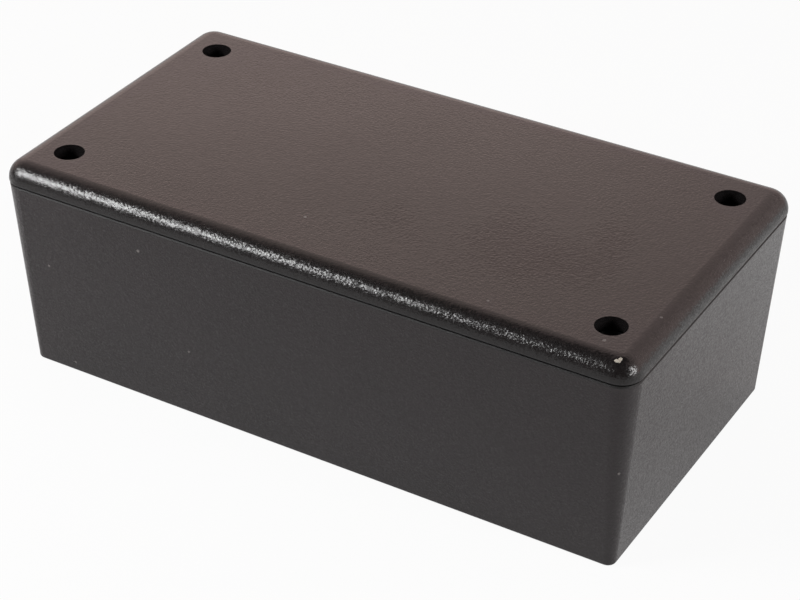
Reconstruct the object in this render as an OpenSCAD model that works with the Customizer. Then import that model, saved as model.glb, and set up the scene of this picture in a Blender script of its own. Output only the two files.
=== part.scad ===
// Small moulded project box: a deep tapered tub closed by a shallow lid on four corner screws.
// Origin at the centre of the underside, +X along the length, +Y across, +Z up to the lid.
// All lengths are in millimetres.

/* [Case] */
// Length over the lid, the widest part
case_length = 130; // [110:1:180]
// Width over the lid
case_width = 68; // [60:1:100]
// Height from the underside to the lid's top face
case_height = 44; // [36:1:52]
// Thickness of the side and end walls
wall = 2.4; // [2:0.1:3]
// Thickness of the tub's floor
floor_thickness = 2.5; // [2:0.1:3.5]
// Moulding taper of the tub's walls, in degrees
draft = 3.5; // [1:0.1:3.6]
// Plan radius of the lid's corners
corner_radius = 4.2; // [3.8:0.1:5]
// Plan radius of the cavity's corners at the rim
cavity_corner_radius = 3.2; // [2.8:0.1:4]
// Radius of the edge between the tub's walls and its underside
base_edge_radius = 0.6; // [0.3:0.1:1.2]
// Radius of the inside edge between the walls and the floor
floor_fillet = 0.8; // [0.3:0.1:1]
// Distance of the two moulding gates from the middle of the underside, along the length
gate_offset = 32; // [20:1:42]
// Diameter of the shallow dimple round a gate
gate_dimple_diameter = 7; // [5:0.5:10]
// Depth of the dimple
gate_dimple_depth = 0.4; // [0.3:0.1:0.8]
// Diameter of the gate's stub, left in the middle of the dimple
gate_stub_diameter = 1.6; // [1:0.1:2.4]
// Height of the stub
gate_stub_height = 0.2; // [0.1:0.05:0.25]

/* [Lid] */
// Height of the lid, from its seat on the tub to the top face
lid_height = 4.4; // [4.3:0.1:6]
// Thickness of the lid's top plate
lid_plate = 2.5; // [2:0.1:3.2]
// Radius of the rounded edge round the top face
lid_edge_radius = 3.6; // [1.5:0.1:3.7]
// How far the lid stands out past the tub at the joint
lid_overhang = 0.1; // [0.05:0.05:0.5]
// Height of the narrow open groove that runs round the box between the lid's rim and the tub
joint_gap = 0.4; // [0.2:0.05:0.5]
// Depth of the groove, from the lid's outer face
joint_depth = 0.8; // [0.4:0.1:1.2]
// Size of the small edges on either side of the groove, rounded on the lid and bevelled on the tub
joint_edge = 0.2; // [0.1:0.05:0.3]
// How far the lid's locating rib reaches down into the tub
rib_depth = 2; // [1:0.1:3]
// Thickness of the locating rib
rib_thickness = 1.6; // [1.2:0.1:2]
// Radius of the rib's lower outside edge, which leads it into the tub
rib_lead_in = 0.4; // [0.2:0.1:0.8]
// Gap between the locating rib and the tub's walls
rib_clearance = 0.25; // [0.15:0.05:0.4]

/* [Lid screws] */
// Distance of the screws from the lid's ends
screw_inset_end = 8.9; // [8.5:0.1:12]
// Distance of the screws from the lid's sides
screw_inset_side = 9.9; // [9:0.1:13]
// Diameter of the deep hole that takes the screw's head
counterbore_diameter = 5.8; // [5.7:0.1:6.4]
// Depth of the head's seat below the top face
counterbore_depth = 4.6; // [3:0.1:5]
// Diameter of the clearance hole below the head's seat
screw_hole_diameter = 3.4; // [3.2:0.1:3.8]
// Outside diameter of the lid's bosses round the screws
lid_boss_diameter = 8.8; // [8:0.1:9.4]
// Width of the blocks that tie those bosses to the lid's ends
boss_root = 7; // [5:0.1:7.8]
// Diameter of the screw's head
head_diameter = 5.5; // [4.8:0.1:5.6]
// Height of the screw's head
head_height = 2; // [1.6:0.1:2.4]
// Radius of the head's top edge
head_edge_radius = 0.3; // [0.1:0.1:0.5]
// Nominal diameter of the screw's thread
screw_diameter = 3; // [2.6:0.1:3]
// Length of the screw below its head
screw_length = 10; // [8:0.5:14]
// Length and depth of the bevel at the screw's tip
screw_tip_bevel = 0.5; // [0.3:0.1:0.8]
// Span of the cross recess in the head
recess_span = 3; // [2:0.1:3.4]
// Width of one slot of the cross recess
recess_width = 0.7; // [0.5:0.1:1]
// Depth of the cross recess
recess_depth = 1.2; // [0.6:0.1:1.3]

/* [Screw posts] */
// Diameter of the corner posts inside the tub
post_diameter = 8; // [7.4:0.1:8.6]
// Gap between the posts' tops and the lid's bosses
post_gap = 0.2; // [0.1:0.05:0.5]
// Thickness of the webs that tie a post to the side wall
post_web = 1.8; // [1.2:0.1:2.4]
// Width of the block that ties a post to the end wall
post_root = 5; // [3:0.1:6]
// Outside diameter of the threaded inserts
insert_diameter = 4.2; // [4:0.1:4.6]
// Length of the threaded inserts
insert_length = 5.7; // [4:0.1:7]
// Depth of the groove round the inserts, between their two knurled bands
insert_groove = 0.2; // [0.1:0.05:0.3]
// Spare depth of the post's bore below the screw's tip
bore_spare = 1.5; // [0.5:0.1:3]

/* [Card guides] */
// Width of the slots that hold a circuit board on edge
card_slot = 1.8; // [1.2:0.1:2.4]
// Thickness of the guide ribs
guide_thickness = 1.2; // [0.8:0.1:1.8]
// How far the guide ribs stand out from the wall
guide_projection = 1.6; // [1:0.1:2.5]
// Number of slots along each side wall
side_slots = 5; // [1:1:7]
// Distance between the slots along a side wall
side_slot_pitch = 20; // [8:1:26]
// Number of slots across each end wall
end_slots = 2; // [1:1:3]
// Distance between the slots across an end wall
end_slot_pitch = 20; // [8:1:26]
// Distance of the guide ribs' tops below the lid's locating rib
guide_setback = 1; // [0.3:0.1:4]

/* [Board standoffs] */
// Distance of the standoffs from the screws along the length
standoff_offset_x = 10.1; // [8:0.1:30]
// Distance of the standoffs from the screws across the width
standoff_offset_y = 3.1; // [0:0.1:12]
// Outside diameter of the standoffs
standoff_diameter = 6; // [4.5:0.1:7]
// Height of the standoffs above the floor
standoff_height = 5; // [3:0.5:8]
// Diameter of the pilot hole in a standoff
pilot_diameter = 2.4; // [1.8:0.1:3]
// Depth of the pilot hole
pilot_depth = 4.5; // [2:0.1:6]

/* [Hidden] */
$fn = 64;

CORNERS = [[1, 1], [-1, 1], [-1, -1], [1, -1]];
half = [case_length / 2, case_width / 2];
tub_height = case_height - lid_height;
taper = tan(draft);
fit_gap = 0.02; // radial gap of a pressed or threaded fit
cut = 1; // extra reach of a cut past the face it opens
bite = 0.8; // how far a rib or web runs into the wall that carries it
fillet_share = 0.8; // largest share of a corner's radius that a fillet takes up
full_round = 1.01; // a rounding's circle reaches this much past the faces it blends
insert_bands = [0.4, 0.6, 0.92]; // edges of an insert's two knurled bands, as shares of its length

// Corner axes, round which the outlines turn
outer_axis = half - [corner_radius, corner_radius];
rim_inner = half - [1, 1] * (lid_overhang + wall);
inner_axis = rim_inner - [1, 1] * cavity_corner_radius;

// Lid underside, with heights counted from the lid's seat on the tub
rib_reach = cavity_corner_radius - rib_clearance;
pocket_reach = rib_reach - rib_thickness;
pocket_height = lid_height - lid_plate;
pocket_half = inner_axis + [1, 1] * pocket_reach;
seat_height = lid_height - counterbore_depth;

// Screw line
screw_at = half - [screw_inset_end, screw_inset_side];
post_top = tub_height - rib_depth - post_gap;
screw_tip = tub_height + seat_height - screw_length;
standoff_at = screw_at - [standoff_offset_x, standoff_offset_y];
guide_top = tub_height - rib_depth - guide_setback;

// Distance from the middle to a wall's inside face at a height, where side 0 is an end wall and 1 a side wall
function wall_face(side, z) = rim_inner[side] - (tub_height - z) * taper;

// Part of a disc between two directions
module sector(centre, radius, from, to) {
  far = 3 * radius;
  intersection() {
    translate(centre) circle(r = radius);
    polygon([centre, for (i = [0:2]) let (a = from + (to - from) * i / 2) centre + far * [cos(a), sin(a)]]);
  }
}

// Half-section of an upright block: reach is its outer face, with a rounded foot and a rounded top
module upright_section(reach, height, foot, top) {
  translate([0, foot]) square([reach, height - foot - top]);
  if (foot > 0) {
    square([reach - foot, foot]);
    sector([reach - foot, foot], foot, -90, 0);
  }
  if (top > 0) {
    translate([0, height - top]) square([reach - top, top]);
    sector([reach - top, height - top], top, 0, 90);
  }
}

// Half-section of a tapered block: reach is its outer face at the top, where it is widest.
// The foot is rounded and the top edge is bevelled.
module tapered_section(reach, height, foot, bevel) {
  base = reach - height * taper;
  edge = [[reach - bevel * taper, height - bevel], [reach - bevel, height]];
  centre = [base - foot * (1 - sin(draft)) / cos(draft), foot];
  difference() {
    polygon(concat([[0, 0], [base, 0]], bevel > 0 ? edge : [[reach, height]], [[0, height]]));
    difference() {
      translate([centre.x, -foot]) square(2 * foot);
      translate(centre) circle(r = foot * full_round);
    }
  }
}

// Carries a half-section round a rectangle whose corner axes are at axis, and fills its middle
module round_block(axis, height) {
  for (i = [0:3])
    translate([CORNERS[i].x * axis.x, CORNERS[i].y * axis.y, 0])
      rotate([0, 0, 90 * i]) rotate_extrude(angle = 90) children();
  for (turn = [0, 180]) rotate([0, 0, turn]) {
    translate([axis.x, axis.y, 0]) rotate([90, 0, 0]) linear_extrude(2 * axis.y) children();
    translate([-axis.x, axis.y, 0]) rotate([90, 0, 90]) linear_extrude(2 * axis.x) children();
  }
  translate([-axis.x, -axis.y, 0]) cube([2 * axis.x, 2 * axis.y, height]);
}

// One copy at each corner of a rectangle, given the half-lengths of its sides
module at_corners(point) {
  for (c = CORNERS) translate([c.x * point.x, c.y * point.y, 0]) children();
}

// Upright plate against a wall: section gives its outline as [distance from the middle, height]
module wall_plate(side, sign, along, thickness, section) {
  turn = side == 0 ? (sign > 0 ? 0 : 180) : (sign > 0 ? 90 : 270);
  shift = side == 0 ? sign * along : -sign * along;
  rotate([0, 0, turn]) translate([0, shift + thickness / 2, 0]) rotate([90, 0, 0])
    linear_extrude(thickness) polygon(section);
}

// Outline of a web that runs from an inner distance out into a tapered wall
function web_section(side, inner, z0, z1) = [
  [inner, z0], [wall_face(side, z0) + bite, z0],
  [wall_face(side, z1) + bite, z1], [inner, z1]
];

// Outline of a guide rib that follows a tapered wall, with a sloped lead-in at its top
function guide_section(side, z0, z1) = [
  [wall_face(side, z0) - guide_projection, z0], [wall_face(side, z0) + bite, z0],
  [wall_face(side, z1) + bite, z1 + bite],
  [wall_face(side, z1) - guide_projection, z1 - guide_projection]
];

// Places of a row of slots about the middle of a wall
function slot_places(count, pitch) = [for (i = [0:count - 1]) (i - (count - 1) / 2) * pitch];

module guide_ribs(side, count, pitch) {
  step = (card_slot + guide_thickness) / 2;
  section = guide_section(side, floor_thickness / 2, guide_top);
  for (place = slot_places(count, pitch), edge = [-step, step], sign = [-1, 1])
    wall_plate(side, sign, place + edge, guide_thickness, section);
}

module screw_posts() {
  foot = floor_thickness / 2;
  at_corners(screw_at) translate([0, 0, foot]) cylinder(d = post_diameter, h = post_top - foot);
  for (sx = [-1, 1], sy = [-1, 1]) {
    wall_plate(0, sx, sx * sy * screw_at.y, post_root, web_section(0, screw_at.x, foot, post_top));
    wall_plate(1, sy, -sx * sy * screw_at.x, post_web, web_section(1, screw_at.y, foot, post_top));
  }
}

module post_bores() {
  at_corners(screw_at) {
    translate([0, 0, post_top - insert_length]) cylinder(d = insert_diameter, h = insert_length + cut);
    translate([0, 0, screw_tip - bore_spare]) cylinder(d = screw_hole_diameter, h = screw_length);
  }
}

module standoffs() {
  top = floor_thickness + standoff_height;
  at_corners(standoff_at) difference() {
    translate([0, 0, floor_thickness / 2]) cylinder(d = standoff_diameter, h = top - floor_thickness / 2);
    translate([0, 0, top - pilot_depth]) cylinder(d = pilot_diameter, h = pilot_depth + cut);
  }
}

module tub_shell() {
  depth = tub_height - floor_thickness + cut;
  reach = cavity_corner_radius + cut * taper;
  fillet = min(floor_fillet, fillet_share * (reach - depth * taper));
  difference() {
    round_block(outer_axis, tub_height)
      tapered_section(corner_radius - lid_overhang, tub_height, base_edge_radius, joint_edge);
    translate([0, 0, floor_thickness])
      round_block(inner_axis, depth) tapered_section(reach, depth, fillet, 0);
  }
}

// Shallow dimples round the two moulding gates, each with its stub left standing
module gate_marks() {
  for (side = [-1, 1]) translate([side * gate_offset, 0, 0]) difference() {
    translate([0, 0, -cut]) cylinder(d = gate_dimple_diameter, h = gate_dimple_depth + cut);
    translate([0, 0, gate_dimple_depth - gate_stub_height])
      cylinder(d = gate_stub_diameter, h = gate_stub_height + cut);
  }
}

module box_base() {
  color("#1d1c1c") difference() {
    union() {
      tub_shell();
      screw_posts();
      standoffs();
      guide_ribs(1, side_slots, side_slot_pitch);
      guide_ribs(0, end_slots, end_slot_pitch);
    }
    post_bores();
    gate_marks();
  }
}

// Solid outline of the lid with its seat and locating rib, before the underside is hollowed
module lid_block() {
  rim_height = lid_height - joint_gap;
  seat_block = joint_gap + bite;
  rib_block = rib_depth + bite;
  translate([0, 0, joint_gap]) round_block(outer_axis, rim_height)
    upright_section(corner_radius, rim_height, joint_edge, lid_edge_radius);
  round_block(outer_axis, seat_block) square([corner_radius - joint_depth, seat_block]);
  translate([0, 0, -rib_depth])
    round_block(inner_axis, rib_block) upright_section(rib_reach, rib_block, rib_lead_in, 0);
}

module lid_pocket() {
  height = rib_depth + pocket_height + cut;
  fillet = min(floor_fillet, fillet_share * pocket_reach);
  translate([0, 0, -rib_depth - cut])
    round_block(inner_axis, height) upright_section(pocket_reach, height, 0, fillet);
}

module lid_bosses() {
  height = rib_depth + pocket_height + bite / 2;
  root_x = pocket_half.x + rib_thickness / 2 - screw_at.x;
  root_y = pocket_half.y + rib_thickness / 2 - screw_at.y;
  translate([0, 0, -rib_depth]) at_corners(screw_at) cylinder(d = lid_boss_diameter, h = height);
  translate([0, 0, -rib_depth]) for (c = CORNERS) translate([c.x * screw_at.x, c.y * screw_at.y, 0]) {
    translate([c.x > 0 ? 0 : -root_x, -boss_root / 2, 0]) cube([root_x, boss_root, height]);
    translate([-post_web / 2, c.y > 0 ? 0 : -root_y, 0]) cube([post_web, root_y, height]);
  }
}

module lid() {
  color("#1d1c1c") translate([0, 0, tub_height]) difference() {
    union() {
      difference() {
        lid_block();
        lid_pocket();
      }
      lid_bosses();
    }
    at_corners(screw_at) {
      translate([0, 0, seat_height]) cylinder(d = counterbore_diameter, h = counterbore_depth + cut);
      translate([0, 0, -rib_depth - cut]) cylinder(d = screw_hole_diameter, h = lid_height + rib_depth);
    }
  }
}

// One cheese-head screw, its head's underside at height 0
module lid_screw() {
  edge_centre = [head_diameter / 2, head_height] - head_edge_radius * [1, 1];
  bevel = screw_tip_bevel;
  difference() {
    union() {
      rotate_extrude() {
        square([edge_centre.x, head_height]);
        square([head_diameter / 2, edge_centre.y]);
        sector(edge_centre, head_edge_radius, 0, 90);
      }
      translate([0, 0, bevel - screw_length])
        cylinder(d = screw_diameter, h = screw_length - bevel + head_height / 2);
      translate([0, 0, -screw_length])
        cylinder(d1 = screw_diameter - 2 * bevel, d2 = screw_diameter, h = bevel);
    }
    for (turn = [0, 90]) rotate([0, 0, turn])
      translate([-recess_span / 2, -recess_width / 2, head_height - recess_depth])
        cube([recess_span, recess_width, recess_depth + cut]);
  }
}

module lid_screws() {
  color("#26282b") translate([0, 0, tub_height + seat_height]) at_corners(screw_at) lid_screw();
}

// One press-in insert, its top at height 0, with two knurled bands and a groove between them
module threaded_insert() {
  outer = insert_diameter / 2 - fit_gap;
  bore = screw_diameter / 2 + fit_gap;
  groove = outer - insert_groove;
  edges = -insert_length * insert_bands;
  rotate_extrude() polygon([
    [bore, 0], [outer, 0], [outer, edges[0]], [groove, edges[0]], [groove, edges[1]],
    [outer, edges[1]], [outer, edges[2]], [groove, -insert_length], [bore, -insert_length]
  ]);
}

module threaded_inserts() {
  color("#b8923f") translate([0, 0, post_top]) at_corners(screw_at) threaded_insert();
}

box_base();
lid();
lid_screws();
threaded_inserts();
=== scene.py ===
"""Looks of the moulded plastic project box: finishes, small wear, studio and camera."""
import math

import bpy
from mathutils import Matrix, Vector, noise
from mathutils.bvhtree import BVHTree


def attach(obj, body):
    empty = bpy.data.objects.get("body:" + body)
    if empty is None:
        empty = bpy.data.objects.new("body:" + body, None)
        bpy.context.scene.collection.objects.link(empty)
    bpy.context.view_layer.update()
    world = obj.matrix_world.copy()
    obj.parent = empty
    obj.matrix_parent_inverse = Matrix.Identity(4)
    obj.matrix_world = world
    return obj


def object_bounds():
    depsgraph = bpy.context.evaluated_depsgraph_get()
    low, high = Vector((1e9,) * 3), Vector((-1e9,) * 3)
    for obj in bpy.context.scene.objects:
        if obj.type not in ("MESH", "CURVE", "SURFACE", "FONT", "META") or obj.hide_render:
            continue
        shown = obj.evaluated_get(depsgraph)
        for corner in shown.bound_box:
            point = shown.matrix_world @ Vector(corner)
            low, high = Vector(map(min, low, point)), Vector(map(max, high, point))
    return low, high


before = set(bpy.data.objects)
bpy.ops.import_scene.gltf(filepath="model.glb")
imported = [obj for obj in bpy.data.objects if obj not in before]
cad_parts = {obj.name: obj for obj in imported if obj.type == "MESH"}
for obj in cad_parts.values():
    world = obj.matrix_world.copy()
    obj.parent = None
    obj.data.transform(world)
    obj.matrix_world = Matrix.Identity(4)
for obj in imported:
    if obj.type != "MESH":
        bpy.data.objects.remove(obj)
CAD_LOW, CAD_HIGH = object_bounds()
MM = 0.001
TOP = CAD_HIGH.z
WHITE = (1.0, 1.0, 1.0, 1.0)

# Camera: where it looks, from which side, and how long its lens is
LOOK_AT = Vector((-11.93 * MM, 22.3 * MM, CAD_LOW.z))
CAMERA_AZIMUTH = math.radians(30.6)
CAMERA_ELEVATION = math.radians(33.27)
CAMERA_ROLL = math.radians(0.26)
CAMERA_DISTANCE = 464.6 * MM
LENS = 103.0

# Moulded surface: how many grains, facets, waves and clouds to the metre, and how deep grains and waves seem
GRAIN_SCALE, FINE_SCALE, FACET_SCALE = 2600.0, 8000.0, 3600.0
WAVE_SCALE, CLOUD_SCALE = 18.0, 30.0
GRAIN_DEPTH, WAVE_DEPTH = 0.05 * MM, 0.25 * MM
FINE_SHARE = 0.25
PLASTIC_IOR = 1.5
TUB_COLOUR, LID_COLOUR = (0.0125, 0.0085, 0.0095), (0.0095, 0.0083, 0.0085)
TUB_SEED, LID_SEED = 0.0, 4.0

# How dull each surface is and how far its facets lean; the lid's flat top differs from its rounded edge
TUB_ROUGHNESS, LID_ROUGHNESS, TOP_ROUGHNESS = 0.2, 0.25, 0.2
TUB_TILT, LID_TILT, TOP_TILT = 0.12, 0.16, 0.03
EDGE_END, TOP_START = TOP - 0.5 * MM, TOP - 0.02 * MM

# The dull faces of the joint between tub and lid, whose colour is darkened with painted shade
JOINT_LOW, JOINT_HIGH = TOP - 4.65 * MM, TOP - 4.02 * MM
FADE_BELOW, FADE_ABOVE = 0.05 * MM, 0.1 * MM
JOINT_ROUGHNESS = 0.62
JOINT_SHADE_COLOUR = (0.004, 0.004, 0.004, 1.0)

# Sparse dust, whose dots fade out between two radii in cells; pale specks as x, y, z and radius in mm
DUST_SCALE, DUST_RARITY, DUST_ROUGHNESS = 95.0, 0.8, 0.8
DOT_RIM, DOT_SHARE = (0.01, 0.02), 0.7
DUST_COLOUR = (0.16, 0.15, 0.145, 1.0)
TUB_MARKS = [
    (-34.1, -33.6, 34.5, 0.4),
    (-52.7, -31.6, 2.2, 0.3),
    (-24.8, -32.4, 14.9, 0.3),
    (-56.0, -32.9, 23.8, 0.3),
    (62.8, -32.0, 21.1, 0.3),
]
LID_MARKS = [
    (-6.0, -21.0, 44.0, 0.3),
    (35.0, -28.0, 44.0, 0.3),
    (57.0, -28.5, 44.0, 0.4),
    (62.0, -17.4, 43.9, 0.3),
]

# The other finishes: specks to the metre, how deep they seem, and colours
BRUISE_SCALE, BRUISE_DEPTH = 4000.0, 0.03 * MM
BRUISE_DARK, BRUISE_PALE = (0.36, 0.32, 0.26, 1.0), (0.6, 0.57, 0.5, 1.0)
METAL_SCALE, METAL_DEPTH = 2500.0, 0.01 * MM
SCREW_COLOUR, SCREW_ROUGHNESS = (0.05, 0.05, 0.055), 0.4
BRASS_COLOUR, BRASS_ROUGHNESS = (0.72, 0.56, 0.26), 0.3

# The knocked spot in mm on the lid: middle, lean of its plane, outline with three corners, height and crumbs
CHIP_X, CHIP_Y, CHIP_Z = 61.35, -32.0, 43.7
CHIP_TILT = math.radians(25.0)
CHIP_REACH, CHIP_LOBE, CHIP_STRETCH = 0.62, 0.16, 0.18
CHIP_TURN, CHIP_SLANT = math.radians(80.0), math.radians(45.0)
CHIP_RIPPLES = [(0.025, 7, 1), (0.015, 13, 2)]
CHIP_RISE, CHIP_SINK = 0.03, 0.03
CHIP_CRUMBLE, CHIP_CRUMBS = 0.012, 3500.0
CHIP_RINGS, CHIP_STEPS = 7, 48

# Floor: its tone by the lamps' light, and how much of it glows to glossy rays, by place along Y in metres
FLOOR_HALF, FLOOR_GAP = 6.0, 0.05 * MM
FLOOR_TONE, CAMERA_LIFT = 0.72, 0.94
FRONT_LIFT, SIDE_LIFT, BACK_LIFT, FAR_LEVEL = 0.5, 0.34, 0.3, 0.52
FRONT_TO_SIDE = (-0.04, 0.01)
SIDE_TO_BACK = (0.02, 0.08)
FAR_TO_NEAR = (-0.12, -0.03)

# World: the sweep dims between two elevations, ends under a dark ceiling and fades towards the front
BAND_FROM, BAND_TO, SWEEP_TOP = 24.0, 44.0, 0.7
CEILING_FROM, CEILING_TO = 57.0, 65.0
FRONT_TO_BACK = (-0.25, 0.35)
FRONT_LEVEL, BACK_LEVEL = 0.05, 0.98
ROOM_LEVEL, ROOM_SHARE = 0.01, 0.6
SWEEP_TINT = (1.0, 0.79, 0.75, 1.0)


def link(obj):
    bpy.context.scene.collection.objects.link(obj)
    return obj


def towards(azimuth, elevation):
    """Unit vector from the box to something seen at an azimuth from -Y towards +X, in radians."""
    flat = math.cos(elevation)
    return Vector((math.sin(azimuth) * flat, -math.cos(azimuth) * flat, math.sin(elevation)))


def rise_of(elevation):
    """Upward part of a direction at an elevation in degrees."""
    return math.sin(math.radians(elevation))


def shade_of(colour, share):
    return tuple(part * share for part in colour) + (1.0,)


class Nodes:
    """A small helper that adds and joins shader nodes."""

    def __init__(self, owner):
        owner.use_nodes = True
        self.tree = owner.node_tree
        self.tree.nodes.clear()

    def add(self, kind, inputs=None, **settings):
        node = self.tree.nodes.new(kind)
        for name, value in settings.items():
            setattr(node, name, value)
        for name, value in (inputs or {}).items():
            self.put(node.inputs[name], value)
        return node

    def put(self, socket, value):
        if isinstance(value, bpy.types.NodeSocket):
            self.tree.links.new(value, socket)
        else:
            socket.default_value = value

    def math(self, operation, a, b=0.0):
        return self.add("ShaderNodeMath", {0: a, 1: b}, operation=operation).outputs[0]

    def vector(self, operation, a, b=(0.0, 0.0, 0.0)):
        return self.add("ShaderNodeVectorMath", {0: a, 1: b}, operation=operation).outputs[0]

    def parts(self, value):
        return self.add("ShaderNodeSeparateXYZ", {0: value}).outputs

    def place(self):
        """Place on the object, in its own metres."""
        return self.add("ShaderNodeTexCoord").outputs["Object"]

    def noise(self, where, scale, detail, roughness):
        inputs = {"Vector": where, "Scale": scale, "Detail": detail, "Roughness": roughness}
        return self.add("ShaderNodeTexNoise", inputs).outputs["Fac"]

    def voronoi(self, where, scale):
        return self.add("ShaderNodeTexVoronoi", {"Vector": where, "Scale": scale}, feature="F1").outputs

    def bump(self, depth, height, normal=None):
        inputs = {"Strength": 1.0, "Distance": depth, "Height": height}
        if normal:
            inputs["Normal"] = normal
        return self.add("ShaderNodeBump", inputs).outputs[0]

    def spread(self, value, low, high, to_low, to_high):
        """Value moved from one range to another and held inside it."""
        inputs = {"Value": value, "From Min": low, "From Max": high, "To Min": to_low, "To Max": to_high}
        return self.add("ShaderNodeMapRange", inputs).outputs[0]

    def vary(self, noise_value, to_low, to_high):
        """Noise, whose values lie mostly between 0.3 and 0.7, spread over a range."""
        return self.spread(noise_value, 0.3, 0.7, to_low, to_high)

    def blend(self, factor, a, b):
        node = self.add("ShaderNodeMix", data_type="RGBA")
        self.put(node.inputs[0], factor)
        self.put(node.inputs[6], a)
        self.put(node.inputs[7], b)
        return node.outputs[2]

    def finish(self, kind, shader):
        self.add(kind, {"Surface": shader.outputs[0]})


def grain_normal(n, place, up, grain, fine, seed, tilt):
    """Grain and slow waves as bump, with tiny flat facets that lean by chance and so sparkle."""
    height = n.math("ADD", grain, n.math("MULTIPLY", fine, FINE_SHARE))
    wave = n.noise(place, WAVE_SCALE + seed, 1.0, 0.4)
    bumped = n.bump(WAVE_DEPTH, wave, n.bump(GRAIN_DEPTH, height))
    facets = n.voronoi(place, FACET_SCALE)["Color"]
    reach = n.spread(up, EDGE_END, TOP_START, tilt, TOP_TILT)
    lean = n.vector("MULTIPLY", n.vector("SUBTRACT", facets, (0.5, 0.5, 0.5)), reach)
    return n.vector("NORMALIZE", n.vector("ADD", bumped, lean))


def joint_share(n, up):
    """1 on the faces of the joint, and 0 away from them."""
    above = n.spread(up, JOINT_LOW - FADE_BELOW, JOINT_LOW, 0.0, 1.0)
    below = n.spread(up, JOINT_HIGH, JOINT_HIGH + FADE_ABOVE, 1.0, 0.0)
    return n.math("MULTIPLY", above, below)


def dust_share(n, place, seed, marks):
    """How much of the surface is dust: sparse random dots and the listed marks."""
    dots = n.voronoi(place, DUST_SCALE + seed)
    chance = n.add("ShaderNodeSeparateColor", {0: dots["Color"]}).outputs[0]
    rare = n.math("GREATER_THAN", chance, DUST_RARITY)
    dust = n.math("MULTIPLY", rare, n.spread(dots["Distance"], *DOT_RIM, DOT_SHARE, 0.0))
    for x, y, z, radius in marks:
        middle = (x * MM, y * MM, z * MM)
        apart = n.add("ShaderNodeVectorMath", {0: place, 1: middle}, operation="DISTANCE").outputs["Value"]
        mark = n.spread(apart, radius * 0.5 * MM, radius * MM, 1.0, 0.0)
        dust = n.math("MAXIMUM", dust, mark)
    return dust


def moulded_plastic(name, colour, roughness, seed, tilt, marks):
    """Black moulded plastic with a spark-eroded grain, faint clouds, a dull joint darkened with painted
    shade, and a little dust.
    """
    material = bpy.data.materials.new(name)
    n = Nodes(material)
    place = n.place()
    up = n.parts(place)[2]
    grain = n.noise(place, GRAIN_SCALE, 1.0, 0.5)
    fine = n.noise(place, FINE_SCALE, 2.0, 0.6)
    cloud = n.noise(place, CLOUD_SCALE + seed, 3.0, 0.55)
    joint = joint_share(n, up)
    dust = dust_share(n, place, seed, marks)

    shade = n.math("ADD", n.vary(grain, 0.2, 0.8), n.vary(cloud, -0.2, 0.2))
    tint = n.blend(shade, shade_of(colour, 0.7), shade_of(colour, 1.3))
    # Painted shade: the joint's faces take a darker colour than the plastic around them
    tint = n.blend(joint, tint, JOINT_SHADE_COLOUR)
    tint = n.blend(dust, tint, DUST_COLOUR)

    rough = n.math("ADD", n.vary(cloud, -0.02, 0.02), n.vary(fine, -0.04, 0.04))
    rough = n.math("ADD", rough, n.spread(up, EDGE_END, TOP_START, roughness, TOP_ROUGHNESS))
    rough = n.math("MAXIMUM", rough, n.math("MULTIPLY", joint, JOINT_ROUGHNESS))
    rough = n.math("MAXIMUM", rough, n.math("MULTIPLY", dust, DUST_ROUGHNESS))

    normal = grain_normal(n, place, up, grain, fine, seed, tilt)
    inputs = {"Base Color": tint, "Roughness": rough, "Normal": normal, "IOR": PLASTIC_IOR}
    n.finish("ShaderNodeOutputMaterial", n.add("ShaderNodeBsdfPrincipled", inputs))
    return material


def scuffed_white(name):
    """Bone-white bruised plastic."""
    material = bpy.data.materials.new(name)
    n = Nodes(material)
    crumbs = n.noise(n.place(), BRUISE_SCALE, 3.0, 0.6)
    tint = n.blend(n.spread(crumbs, 0.35, 0.65, 0.0, 1.0), BRUISE_DARK, BRUISE_PALE)
    rough = n.vary(crumbs, 0.6, 0.8)
    inputs = {"Base Color": tint, "Roughness": rough, "Normal": n.bump(BRUISE_DEPTH, crumbs)}
    n.finish("ShaderNodeOutputMaterial", n.add("ShaderNodeBsdfPrincipled", inputs))
    return material


def plain_metal(name, colour, roughness):
    """Plated or turned metal with a fine uneven finish."""
    material = bpy.data.materials.new(name)
    n = Nodes(material)
    fine = n.noise(n.place(), METAL_SCALE, 3.0, 0.6)
    tint = n.blend(fine, shade_of(colour, 0.8), shade_of(colour, 1.2))
    rough = n.vary(fine, roughness - 0.06, roughness + 0.06)
    normal = n.bump(METAL_DEPTH, fine)
    inputs = {"Base Color": tint, "Roughness": rough, "Normal": normal, "Metallic": 1.0}
    n.finish("ShaderNodeOutputMaterial", n.add("ShaderNodeBsdfPrincipled", inputs))
    return material


def dress(node, material):
    """Gives a CAD node its finish in every material slot."""
    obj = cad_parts[node]
    for slot in obj.material_slots:
        slot.material = material


def chip_reach(turn):
    """Distance in mm from the chip's middle to its outline: three corners, a stretch and small ripples."""
    corners = CHIP_LOBE * math.cos(3 * (turn - CHIP_TURN))
    stretch = CHIP_STRETCH * math.cos(2 * (turn - CHIP_SLANT))
    ripples = sum(size * math.sin(count * turn + start) for size, count, start in CHIP_RIPPLES)
    return CHIP_REACH + corners + stretch + ripples


def chip_faces(layer):
    """Faces of a closed disc of rings, whose upper and lower layers have this many points each."""
    faces = []
    for side, first in ((1, 0), (-1, layer)):
        for step in range(CHIP_STEPS):
            following = (step + 1) % CHIP_STEPS
            faces.append([first, first + 1 + step, first + 1 + following][::side])
        for ring in range(1, CHIP_RINGS):
            inner = first + 1 + (ring - 1) * CHIP_STEPS
            outer = inner + CHIP_STEPS
            for step in range(CHIP_STEPS):
                following = (step + 1) % CHIP_STEPS
                faces.append([inner + step, outer + step, outer + following, inner + following][::side])
    rim = 1 + (CHIP_RINGS - 1) * CHIP_STEPS
    for step in range(CHIP_STEPS):
        following = (step + 1) % CHIP_STEPS
        faces.append([rim + step, layer + rim + step, layer + rim + following, rim + following])
    return faces


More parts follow.
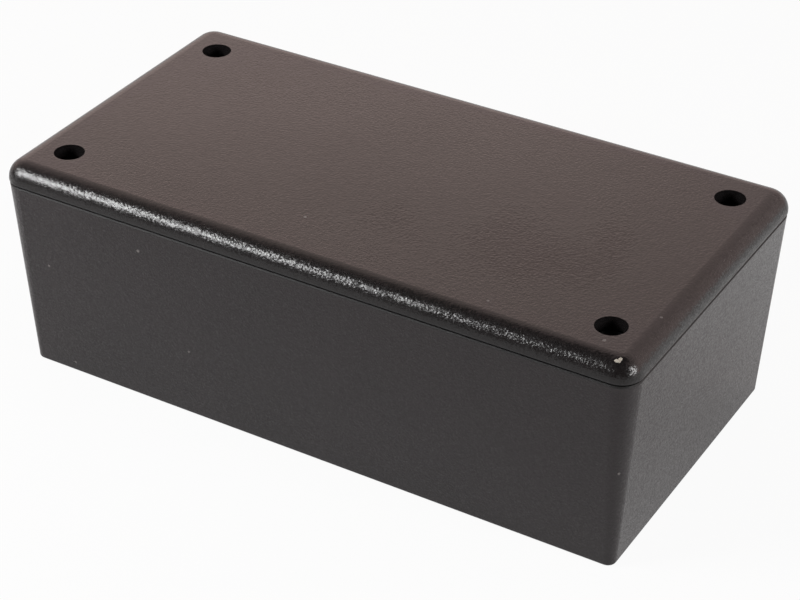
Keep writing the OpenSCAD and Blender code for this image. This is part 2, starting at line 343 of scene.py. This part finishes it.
def add_chip(material):
    """Three-cornered pale bruise on the lid's rounded front edge, near its right end."""
    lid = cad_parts["lid"]
    surface = BVHTree.FromObject(lid, bpy.context.evaluated_depsgraph_get())
    to_lid, to_world = lid.matrix_world.inverted(), lid.matrix_world
    middle = Vector((CHIP_X, CHIP_Y, CHIP_Z)) * MM
    along = Vector((1.0, 0.0, 0.0))
    up = Vector((0.0, math.cos(CHIP_TILT), math.sin(CHIP_TILT)))
    top, under = [], []
    for ring in range(CHIP_RINGS + 1):
        share = ring / CHIP_RINGS
        for step in range(CHIP_STEPS if ring else 1):
            turn = 2 * math.pi * step / CHIP_STEPS
            flat = middle + (along * math.cos(turn) + up * math.sin(turn)) * chip_reach(turn) * share * MM
            spot, normal, _, _ = surface.find_nearest(to_lid @ flat)
            spot = to_world @ spot
            normal = (to_world.to_3x3() @ normal).normalized()
            crumble = noise.noise(flat * CHIP_CRUMBS) * CHIP_CRUMBLE
            rise = (CHIP_RISE + crumble) * (1 - share ** 4) - CHIP_SINK * share ** 4
            top.append(spot + normal * rise * MM)
            under.append(spot - normal * 2 * CHIP_SINK * MM)
    mesh = bpy.data.meshes.new("edge_chip")
    mesh.from_pydata([tuple(point) for point in top + under], [], chip_faces(len(top)))
    mesh.materials.append(material)
    chip = link(bpy.data.objects.new("edge_chip", mesh))
    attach(chip, "root")


def floor_material():
    """Pale matt floor that glows to the camera, and less so to glossy and transmitted rays."""
    material = bpy.data.materials.new("floor_white")
    n = Nodes(material)
    path = n.add("ShaderNodeLightPath").outputs
    shiny = n.math("MAXIMUM", path["Is Glossy Ray"], path["Is Transmission Ray"])
    along = n.parts(n.add("ShaderNodeNewGeometry").outputs["Position"])[1]
    front_lift = n.spread(along, *FRONT_TO_SIDE, FRONT_LIFT, SIDE_LIFT)
    back_lift = n.spread(along, *SIDE_TO_BACK, 0.0, BACK_LIFT)
    glossy_lift = n.math("MULTIPLY", shiny, n.math("ADD", front_lift, back_lift))
    lift = n.math("MAXIMUM", n.math("MULTIPLY", path["Is Camera Ray"], CAMERA_LIFT), glossy_lift)
    level = n.math("MAXIMUM", path["Is Camera Ray"], n.spread(along, *FAR_TO_NEAR, FAR_LEVEL, 1.0))
    matt = n.add("ShaderNodeBsdfDiffuse", {"Color": (FLOOR_TONE, FLOOR_TONE, FLOOR_TONE, 1.0)})
    glow = n.add("ShaderNodeEmission", {"Color": WHITE, "Strength": level})
    mixed = n.add("ShaderNodeMixShader", {0: lift, 1: matt.outputs[0], 2: glow.outputs[0]})
    n.finish("ShaderNodeOutputMaterial", mixed)
    return material


def add_floor():
    """Flat floor just under the box, which keeps the box's shadow."""
    mesh = bpy.data.meshes.new("floor")
    corners = [(x * FLOOR_HALF, y * FLOOR_HALF, 0) for x, y in ((-1, -1), (1, -1), (1, 1), (-1, 1))]
    mesh.from_pydata(corners, [], [(0, 1, 2, 3)])
    mesh.materials.append(floor_material())
    floor = link(bpy.data.objects.new("floor", mesh))
    floor.location.z = CAD_LOW.z - FLOOR_GAP


def add_world():
    """Warm pale sweep behind the box under a dark ceiling, and white to the camera."""
    world = bpy.data.worlds.new("studio")
    bpy.context.scene.world = world
    n = Nodes(world)
    path = n.add("ShaderNodeLightPath").outputs
    way = n.parts(n.add("ShaderNodeTexCoord").outputs["Generated"])
    band = n.spread(way[2], rise_of(BAND_FROM), rise_of(BAND_TO), 1.0, SWEEP_TOP)
    ceiling = n.spread(way[2], rise_of(CEILING_FROM), rise_of(CEILING_TO), 1.0, 0.0)
    back = n.spread(way[1], *FRONT_TO_BACK, FRONT_LEVEL, BACK_LEVEL)
    sweep = n.math("MULTIPLY", n.math("MULTIPLY", ceiling, band), back)
    shiny = n.math("MAXIMUM", path["Is Glossy Ray"], path["Is Transmission Ray"])
    shown = n.math("MAXIMUM", path["Is Camera Ray"], n.math("MULTIPLY", shiny, sweep))
    room = n.math("ADD", n.math("MULTIPLY", sweep, ROOM_SHARE), ROOM_LEVEL)
    level = n.add("ShaderNodeMix", {0: shown, 2: room, 3: 1.0}, data_type="FLOAT").outputs[0]
    tint = n.blend(path["Is Camera Ray"], SWEEP_TINT, WHITE)
    n.finish("ShaderNodeOutputWorld", n.add("ShaderNodeBackground", {"Color": tint, "Strength": level}))


def add_lamp(name, azimuth, elevation, distance, size, radiance, colour=(1.0, 1.0, 1.0), glossy=True):
    """Soft box seen from the box at angles in degrees; a radiance of 1 makes its face look white."""
    width, height = size
    data = bpy.data.lights.new(name, "AREA")
    data.shape = "RECTANGLE"
    data.size, data.size_y = width, height
    data.energy = radiance * math.pi * width * height
    data.color = colour
    lamp = link(bpy.data.objects.new(name, data))
    way = towards(math.radians(azimuth), math.radians(elevation))
    lamp.location = (CAD_LOW + CAD_HIGH) / 2 + way * distance
    lamp.rotation_mode = "QUATERNION"
    lamp.rotation_quaternion = way.to_track_quat("Z", "Y")
    lamp.visible_glossy = glossy


def add_camera():
    """Camera at the photograph's angle, turned a little about its own axis."""
    data = bpy.data.cameras.new("camera")
    data.lens = LENS
    data.sensor_width = 36.0
    data.clip_start, data.clip_end = 0.01, 50.0
    camera = link(bpy.data.objects.new("camera", data))
    back = towards(CAMERA_AZIMUTH, CAMERA_ELEVATION)
    right = Vector((0, 0, 1)).cross(back).normalized()
    up = back.cross(right)
    side = right * math.cos(CAMERA_ROLL) + up * math.sin(CAMERA_ROLL)
    top = up * math.cos(CAMERA_ROLL) - right * math.sin(CAMERA_ROLL)
    turn = Matrix((side, top, back)).transposed().to_4x4()
    camera.matrix_world = Matrix.Translation(LOOK_AT + back * CAMERA_DISTANCE) @ turn
    bpy.context.scene.camera = camera


# The box
dress("box_base", moulded_plastic("base_plastic", TUB_COLOUR, TUB_ROUGHNESS, TUB_SEED, TUB_TILT, TUB_MARKS))
dress("lid", moulded_plastic("lid_plastic", LID_COLOUR, LID_ROUGHNESS, LID_SEED, LID_TILT, LID_MARKS))
dress("lid_screws", plain_metal("screw_steel", SCREW_COLOUR, SCREW_ROUGHNESS))
dress("threaded_inserts", plain_metal("insert_brass", BRASS_COLOUR, BRASS_ROUGHNESS))
add_chip(scuffed_white("scuffed_white"))

# The studio
add_world()
add_floor()
add_lamp("key_front_left", azimuth=-46.0, elevation=30.0, distance=0.5, size=(0.23, 0.11), radiance=26.0)
add_lamp("back_left", azimuth=-140.0, elevation=22.0, distance=1.0, size=(0.7, 0.4), radiance=0.48,
         colour=(1.0, 0.78, 0.7))
add_lamp("right", azimuth=87.0, elevation=21.0, distance=0.7, size=(0.19, 0.19), radiance=22.0)
add_lamp("overhead", azimuth=0.0, elevation=90.0, distance=1.2, size=(1.0, 1.0), radiance=0.3, glossy=False)
add_camera()
bpy.context.scene.view_settings.view_transform = "Standard"
